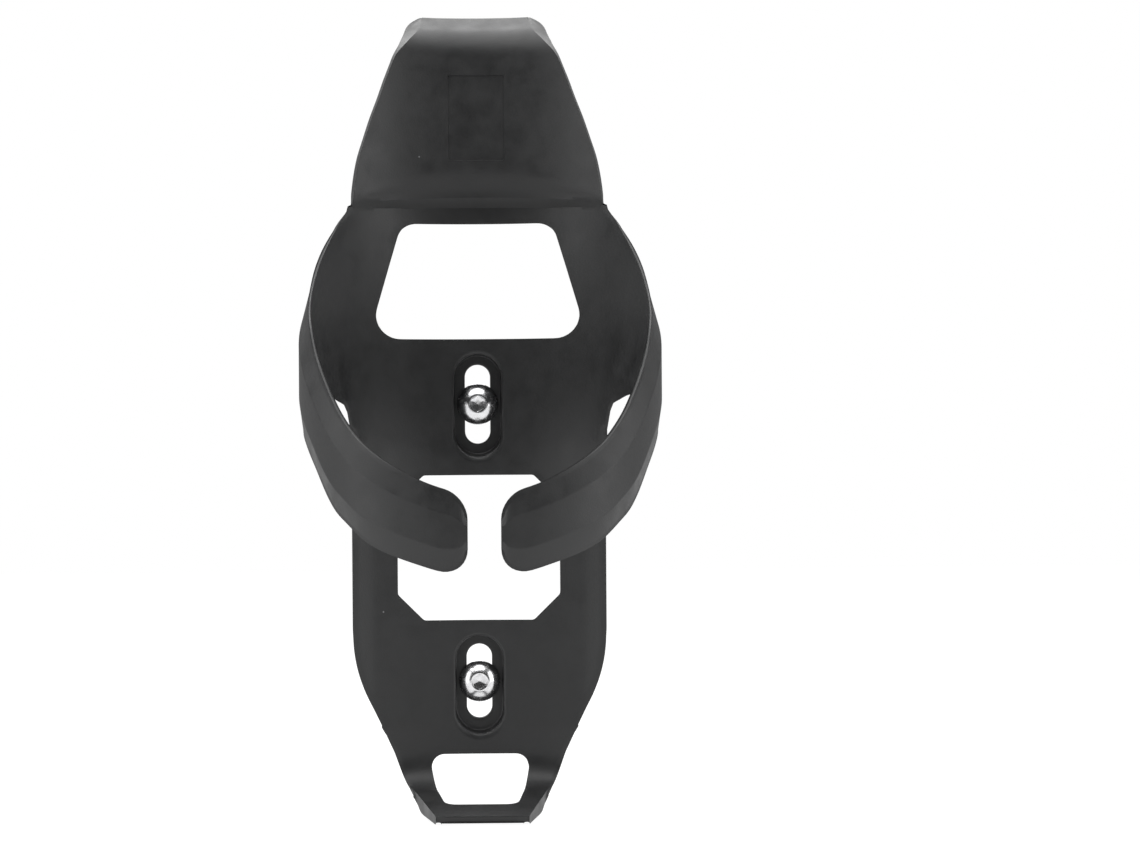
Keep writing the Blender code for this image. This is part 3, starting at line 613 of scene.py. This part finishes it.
def thicken(points, walls, faces, slotHoles):
    # front and back skins, rounded rims along every open edge, and the slots' rings
    work = bmesh.new()
    front = [work.verts.new(point) for point in points]
    work.verts.ensure_lookup_table()
    work.verts.index_update()
    for face in faces:
        work.faces.new([front[index] for index in face])
    following = {}
    for edge in work.edges:
        if edge.is_boundary:
            corner = edge.link_loops[0]
            following[corner.vert.index] = corner.link_loop_next.vert.index
    loops = traceLoops(following)
    work.free()

    vertices = [point.copy() for point in points]
    count = len(points)
    vertices += [point + wall for point, wall in zip(points, walls)]
    allFaces = [tuple(reversed(face)) for face in faces]
    allFaces += [tuple(index + count for index in face) for face in faces]

    def bridge(first, second):
        for step in range(len(first)):
            after = (step + 1) % len(first)
            allFaces.append((first[step], first[after], second[after], second[step]))

    for loop in loops:
        middle = sum((points[index] for index in loop), Vector()) / len(loop)
        hole = None
        for slotHole in slotHoles:
            if abs(middle.z - slotHole[0]) < 3 and abs(middle.x) < 1 and len(loop) < 140:
                hole = slotHole
        backLoop = [index + count for index in loop]
        if hole:
            rings = buildSlot([points[i] for i in loop], [vertices[i] for i in backLoop], *hole)
            previous = loop
            for ring in rings:
                start = len(vertices)
                vertices.extend(ring)
                current = list(range(start, start + len(ring)))
                bridge(previous, current)
                previous = current
            bridge(previous, backLoop)
            continue
        outs, radii = [], []
        for step, index in enumerate(loop):
            before, after = points[loop[step - 1]], points[loop[(step + 1) % len(loop)]]
            wall = walls[index]
            out = (after - before).cross(wall).normalized()
            outs.append(out)
            radii.append(min(cageMesh["rimRadius"], wall.length * 0.45))
        profile = []
        steps = cageMesh["rimSteps"]
        for step in range(1, steps + 1):
            profile.append((radians(90 * step / steps), 0))
        for step in range(0, steps):
            profile.append((radians(90 * (steps - step) / steps), 1))
        frontRim = []
        rings = [[] for _ in profile]
        for index, out, radius in zip(loop, outs, radii):
            point, wall = points[index], walls[index]
            along = wall.normalized()
            base = point - out * radius
            backBase = point + wall - out * radius
            vertices[index] = base
            vertices[index + count] = backBase
            for ring, (angle, end) in zip(rings, profile):
                if end == 0:
                    ring.append(base + out * radius * sin(angle) + along * radius * (1 - cos(angle)))
                else:
                    ring.append(backBase + out * radius * sin(angle) - along * radius * (1 - cos(angle)))
        previous = loop
        for ring in rings:
            start = len(vertices)
            vertices.extend(ring)
            current = list(range(start, start + len(ring)))
            bridge(previous, current)
            previous = current
        bridge(previous, backLoop)
    return vertices, allFaces


def makeCage():
    rows = rowList()
    blank = makeBlank(rows)
    for outline in windowOutlines():
        cutHole(blank, outline)
    holes = [(slots["spacing"] / 2, slots["upperLength"], slots["upperRecess"]),
             (-slots["spacing"] / 2, slots["lowerLength"], slots["lowerRecess"])]
    margin = slots["collar"]
    for _, _, (top, low, _) in holes:
        outline = stadium((top + low) / 2, slots["recessWidth"] + 2 * margin, top - low + 2 * margin)
        cutHole(blank, outline)
    markPanel(blank, panelOutline(0))
    points, walls, faces = sheetFromBlank(blank, rows)
    bpy.data.objects.remove(blank)
    vertices, allFaces = thicken(points, walls, faces, holes)
    mesh = bpy.data.meshes.new("cageShell")
    mesh.from_pydata([vertex * mm for vertex in vertices], [], allFaces)
    cage = bpy.data.objects.new("cageShell", mesh)
    bpy.context.scene.collection.objects.link(cage)
    work = bmesh.new()
    work.from_mesh(mesh)
    loose = sum(1 for edge in work.edges if len(edge.link_faces) != 2)
    bmesh.ops.recalc_face_normals(work, faces=work.faces)
    work.to_mesh(mesh)
    print("cage:", len(mesh.polygons), "faces,", loose, "open edges,", round(work.calc_volume() * 1e9), "mm3")
    work.free()
    bpy.ops.object.select_all(action='DESELECT')
    cage.select_set(True)
    bpy.context.view_layer.objects.active = cage
    bpy.ops.object.shade_smooth_by_angle(angle=radians(32))
    return cage


cage = makeCage()


screw = {"gap": 0.3, "length": 12.0, "crest": 2.46, "root": 2.07, "pitch": 0.8, "around": 48, "perTurn": 10,
         "head": 4.75, "headHeight": 2.75, "headEdge": 0.35, "headTop": 2.1, "headArc": 12,
         "socket": 3.0, "socketDepth": 1.6}


def threadRadius(distance, turn):
    # a rounded V thread that runs out under the head and is chamfered at the tip
    ridge = 1 - abs(2 * ((distance / screw["pitch"] - turn) % 1.0) - 1)
    ridge = smoothStep(0.06, 0.9, ridge) * 0.6 + min(max((ridge - 0.06) / 0.84, 0), 1) * 0.4
    grown = smoothStep(0.35, 1.1, distance)
    radius = screw["root"] + (screw["crest"] - screw["root"]) * (ridge * grown + (1 - grown) * 0.9)
    return min(radius, screw["root"] - 0.25 + max(screw["length"] - distance, 0.0) * 1.1)


def makeScrew(name, centreZ):
    s = screw
    around = s["around"]
    steps = round(s["length"] / s["pitch"] * s["perTurn"])
    rings = [(-s["length"], [r] * around) for r in (0.9, 1.5)]
    for step in range(steps + 1):
        distance = s["length"] * (1 - step / steps)
        rings.append((-distance, [threadRadius(distance, index / around) for index in range(around)]))
    drop = (s["head"] ** 2 - s["headTop"] ** 2 + s["headEdge"] ** 2 - s["headHeight"] ** 2) \
        / (2 * (s["headEdge"] - s["headHeight"]))
    radius = hypot(s["head"], s["headEdge"] - drop)
    start, end = atan2(s["headEdge"] - drop, s["head"]), atan2(s["headHeight"] - drop, s["headTop"])
    profile = [(0.0, 2.6), (0.0, 4.2), (0.0, s["head"] - 0.22), (0.05, s["head"] - 0.09),
               (0.13, s["head"] - 0.02), (0.24, s["head"])]
    for step in range(s["headArc"] + 1):
        angle = start + (end - start) * step / s["headArc"]
        profile.append((drop + radius * sin(angle), radius * cos(angle)))
    corner = s["socket"] / 2 / cos(pi / 6)
    profile += [(s["headHeight"], s["headTop"] - 0.12), (s["headHeight"], corner + 0.12)]
    rings += [(height, [r] * around) for height, r in profile]

    def hexRadius(index):
        angle = (index / around * 2 * pi + pi / 6) % (pi / 3) - pi / 6
        return s["socket"] / 2 / cos(angle)

    hexRing = [hexRadius(index) for index in range(around)]
    rings.append((s["headHeight"] - 0.12, hexRing))
    rings.append((s["headHeight"] - 0.2, hexRing))
    rings.append((s["headHeight"] - s["socketDepth"], hexRing))
    rings.append((s["headHeight"] - s["socketDepth"] - 0.05, [r * 0.93 for r in hexRing]))
    rings.append((s["headHeight"] - s["socketDepth"] - 0.4, [0.35] * around))

    vertices, faces = [], []
    base = slots["floorY"] - s["gap"]
    for height, radii in rings:
        for index, r in enumerate(radii):
            angle = 2 * pi * index / around
            vertices.append(Vector((r * cos(angle), base - height, centreZ + r * sin(angle))) * mm)
    for ring in range(len(rings) - 1):
        for index in range(around):
            after = (index + 1) % around
            faces.append((ring * around + index, ring * around + after,
                          (ring + 1) * around + after, (ring + 1) * around + index))
    faces.append(tuple(range(around)))
    faces.append(tuple(range((len(rings) - 1) * around, len(rings) * around)))
    mesh = bpy.data.meshes.new(name)
    mesh.from_pydata(vertices, [], faces)
    piece = bpy.data.objects.new(name, mesh)
    bpy.context.scene.collection.objects.link(piece)
    work = bmesh.new()
    work.from_mesh(mesh)
    bmesh.ops.recalc_face_normals(work, faces=work.faces)
    work.to_mesh(mesh)
    work.free()
    bpy.ops.object.select_all(action='DESELECT')
    piece.select_set(True)
    bpy.context.view_layer.objects.active = piece
    bpy.ops.object.shade_smooth_by_angle(angle=radians(38))
    return piece


upperScrew = makeScrew("upperScrewDetailed", slots["spacing"] / 2)
lowerScrew = makeScrew("lowerScrewDetailed", -slots["spacing"] / 2)


def newMaterial(name):
    material = bpy.data.materials.new(name)
    material.use_nodes = True
    nodes, links = material.node_tree.nodes, material.node_tree.links
    return material, nodes, links, nodes["Principled BSDF"]


def node(nodes, kind, **values):
    made = nodes.new(kind)
    for name, value in values.items():
        setattr(made, name, value)
    return made


nylon = {"dark": (0.0105, 0.0108, 0.0112), "light": (0.017, 0.0173, 0.0178), "speck": (0.16, 0.16, 0.165),
         "roughLow": 0.40, "roughHigh": 0.56, "grainScale": 2600.0, "mottleScale": 210.0, "speckScale": 230.0,
         "speckSize": 0.045, "speckRarity": 0.93, "bump": 0.35, "bumpDepth": 0.00006, "ior": 1.53}


def makeNylon():
    # fine moulded grain, faint cloudy mottling and a few pale specks
    material, nodes, links, shader = newMaterial("blackNylon")
    place = node(nodes, 'ShaderNodeTexCoord')
    mottle = node(nodes, 'ShaderNodeTexNoise')
    mottle.inputs["Scale"].default_value = nylon["mottleScale"]
    mottle.inputs["Detail"].default_value = 5.0
    mottle.inputs["Roughness"].default_value = 0.62
    grain = node(nodes, 'ShaderNodeTexNoise')
    grain.inputs["Scale"].default_value = nylon["grainScale"]
    grain.inputs["Detail"].default_value = 3.0
    specks = node(nodes, 'ShaderNodeTexVoronoi')
    specks.inputs["Scale"].default_value = nylon["speckScale"]
    for texture in (mottle, grain, specks):
        links.new(place.outputs["Object"], texture.inputs["Vector"])

    tone = node(nodes, 'ShaderNodeValToRGB')
    tone.color_ramp.elements[0].position = 0.32
    tone.color_ramp.elements[0].color = (*nylon["dark"], 1)
    tone.color_ramp.elements[1].position = 0.72
    tone.color_ramp.elements[1].color = (*nylon["light"], 1)
    links.new(mottle.outputs["Fac"], tone.inputs["Fac"])

    tiny = node(nodes, 'ShaderNodeMath', operation='LESS_THAN')
    tiny.inputs[1].default_value = nylon["speckSize"]
    links.new(specks.outputs["Distance"], tiny.inputs[0])
    chance = node(nodes, 'ShaderNodeSeparateColor')
    links.new(specks.outputs["Color"], chance.inputs["Color"])
    rare = node(nodes, 'ShaderNodeMath', operation='GREATER_THAN')
    rare.inputs[1].default_value = nylon["speckRarity"]
    links.new(chance.outputs["Red"], rare.inputs[0])
    spot = node(nodes, 'ShaderNodeMath', operation='MULTIPLY')
    links.new(tiny.outputs["Value"], spot.inputs[0])
    links.new(rare.outputs["Value"], spot.inputs[1])
    colour = node(nodes, 'ShaderNodeMix', data_type='RGBA')
    colour.inputs["B"].default_value = (*nylon["speck"], 1)
    links.new(spot.outputs["Value"], colour.inputs["Factor"])
    links.new(tone.outputs["Color"], colour.inputs["A"])
    links.new(colour.outputs["Result"], shader.inputs["Base Color"])

    rough = node(nodes, 'ShaderNodeMapRange')
    rough.inputs["From Min"].default_value = 0.3
    rough.inputs["From Max"].default_value = 0.7
    rough.inputs["To Min"].default_value = nylon["roughLow"]
    rough.inputs["To Max"].default_value = nylon["roughHigh"]
    links.new(mottle.outputs["Fac"], rough.inputs["Value"])
    links.new(rough.outputs["Result"], shader.inputs["Roughness"])

    bump = node(nodes, 'ShaderNodeBump')
    bump.inputs["Strength"].default_value = nylon["bump"]
    bump.inputs["Distance"].default_value = nylon["bumpDepth"]
    links.new(grain.outputs["Fac"], bump.inputs["Height"])
    links.new(bump.outputs["Normal"], shader.inputs["Normal"])
    shader.inputs["IOR"].default_value = nylon["ior"]
    return material


steel = {"low": (0.62, 0.62, 0.635), "high": (0.82, 0.82, 0.83), "roughLow": 0.14, "roughHigh": 0.3,
         "cloudScale": 900.0}


def makeSteel():
    # bright zinc plate, slightly cloudy
    material, nodes, links, shader = newMaterial("brightSteel")
    place = node(nodes, 'ShaderNodeTexCoord')
    cloud = node(nodes, 'ShaderNodeTexNoise')
    cloud.inputs["Scale"].default_value = steel["cloudScale"]
    cloud.inputs["Detail"].default_value = 4.0
    links.new(place.outputs["Object"], cloud.inputs["Vector"])
    tone = node(nodes, 'ShaderNodeValToRGB')
    tone.color_ramp.elements[0].position = 0.3
    tone.color_ramp.elements[0].color = (*steel["low"], 1)
    tone.color_ramp.elements[1].position = 0.7
    tone.color_ramp.elements[1].color = (*steel["high"], 1)
    links.new(cloud.outputs["Fac"], tone.inputs["Fac"])
    links.new(tone.outputs["Color"], shader.inputs["Base Color"])
    rough = node(nodes, 'ShaderNodeMapRange')
    rough.inputs["From Min"].default_value = 0.3
    rough.inputs["From Max"].default_value = 0.7
    rough.inputs["To Min"].default_value = steel["roughLow"]
    rough.inputs["To Max"].default_value = steel["roughHigh"]
    links.new(cloud.outputs["Fac"], rough.inputs["Value"])
    links.new(rough.outputs["Result"], shader.inputs["Roughness"])
    shader.inputs["Metallic"].default_value = 1.0
    return material


cage.data.materials.append(makeNylon())
steelMaterial = makeSteel()
for piece in (upperScrew, lowerScrew):
    piece.data.materials.append(steelMaterial)

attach(cage, "cage")
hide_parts("cage_body")
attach(upperScrew, "upper_screw")
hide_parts("upper_screw")
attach(lowerScrew, "lower_screw")
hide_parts("lower_screw")
print("materials on, pieces placed")


studio = {"floor": 2.5, "floorDrop": 0.6, "floorTone": 0.12, "floorGlow": 0.95, "white": 1.0,
          "around": [(0.0, 0.05), (0.2, 0.08), (0.45, 0.38), (0.6, 0.42), (1.0, 0.2)]}


def makeFloor():
    low = cadBox[0][2] - studio["floorDrop"] * mm
    bpy.ops.mesh.primitive_plane_add(size=studio["floor"], location=(0, 0, low))
    floor = bpy.context.object
    floor.name = "studioFloor"
    material, nodes, links, shader = newMaterial("paleFloor")
    tone = studio["floorTone"]
    shader.inputs["Base Color"].default_value = (tone, tone, tone, 1)
    shader.inputs["Roughness"].default_value = 0.9
    shader.inputs["Emission Color"].default_value = (1, 1, 1, 1)
    shader.inputs["Emission Strength"].default_value = studio["floorGlow"]
    floor.data.materials.append(material)


def areaLight(name, place, target, size, watts):
    data = bpy.data.lights.new(name, 'AREA')
    data.shape = 'RECTANGLE'
    data.size, data.size_y = size
    data.energy = watts
    light = bpy.data.objects.new(name, data)
    light.location = place
    light.rotation_euler = (Vector(target) - Vector(place)).to_track_quat('-Z', 'Y').to_euler()
    bpy.context.scene.collection.objects.link(light)


def makeWorld():
    # white to the eye; for the light on the object, a studio that is bright behind and dark in front
    world = bpy.data.worlds.new("studio")
    bpy.context.scene.world = world
    world.use_nodes = True
    nodes, links = world.node_tree.nodes, world.node_tree.links
    nodes.clear()
    place = node(nodes, 'ShaderNodeTexCoord')
    parts = node(nodes, 'ShaderNodeSeparateXYZ')
    links.new(place.outputs["Generated"], parts.inputs["Vector"])
    ramp = node(nodes, 'ShaderNodeValToRGB')
    spread = node(nodes, 'ShaderNodeMapRange')
    spread.inputs["From Min"].default_value = -1.0
    spread.inputs["From Max"].default_value = 1.0
    links.new(parts.outputs["Y"], spread.inputs["Value"])
    links.new(spread.outputs["Result"], ramp.inputs["Fac"])
    stops = studio["around"]
    elements = ramp.color_ramp.elements
    while len(elements) < len(stops):
        elements.new(0.5)
    for element, (position, level) in zip(elements, stops):
        element.position = position
        element.color = (level, level, level, 1)
    around = node(nodes, 'ShaderNodeBackground')
    links.new(ramp.outputs["Color"], around.inputs["Color"])
    seen = node(nodes, 'ShaderNodeBackground')
    seen.inputs["Color"].default_value = (1, 1, 1, 1)
    seen.inputs["Strength"].default_value = studio["white"]
    path = node(nodes, 'ShaderNodeLightPath')
    mix = node(nodes, 'ShaderNodeMixShader')
    links.new(path.outputs["Is Camera Ray"], mix.inputs["Fac"])
    links.new(around.outputs["Background"], mix.inputs[1])
    links.new(seen.outputs["Background"], mix.inputs[2])
    out = node(nodes, 'ShaderNodeOutputWorld')
    links.new(mix.outputs["Shader"], out.inputs["Surface"])


def makeCamera():
    # level with the slots' upper half, a little left of the middle, and rolled a trace
    distance, sideStep, height = 755.5, -12.0, 26.6
    data = bpy.data.cameras.new("camera")
    data.sensor_width = 36.0
    data.lens = 102.8
    data.shift_x = 0.0807
    data.clip_start = 0.01
    camera = bpy.data.objects.new("camera", data)
    place = Vector((sideStep, -distance, height)) * mm
    aim = Vector((0, plate["y"], height)) * mm
    turn = (aim - place).to_track_quat('-Z', 'Y').to_matrix()
    roll = Matrix.Rotation(radians(-0.4), 3, 'Z')
    camera.matrix_world = Matrix.Translation(place) @ (turn @ roll).to_4x4()
    bpy.context.scene.collection.objects.link(camera)
    bpy.context.scene.camera = camera


makeFloor()
makeWorld()
areaLight("topBox", (-0.1, -0.02, 0.8), (0, -0.02, 0.05), (1.1, 1.1), 11)
areaLight("rearBox", (0, 0.45, 0.55), (0, -0.02, 0.08), (1.4, 0.4), 5)
areaLight("leftBox", (-0.76, -0.3, 0.15), (0, -0.03, 0.03), (0.5, 0.9), 2.7)
areaLight("rightBox", (0.76, -0.3, 0.15), (0, -0.03, 0.03), (0.5, 0.9), 3.1)
makeCamera()
bpy.context.scene.view_settings.view_transform = 'Standard'
print("studio and camera ready")
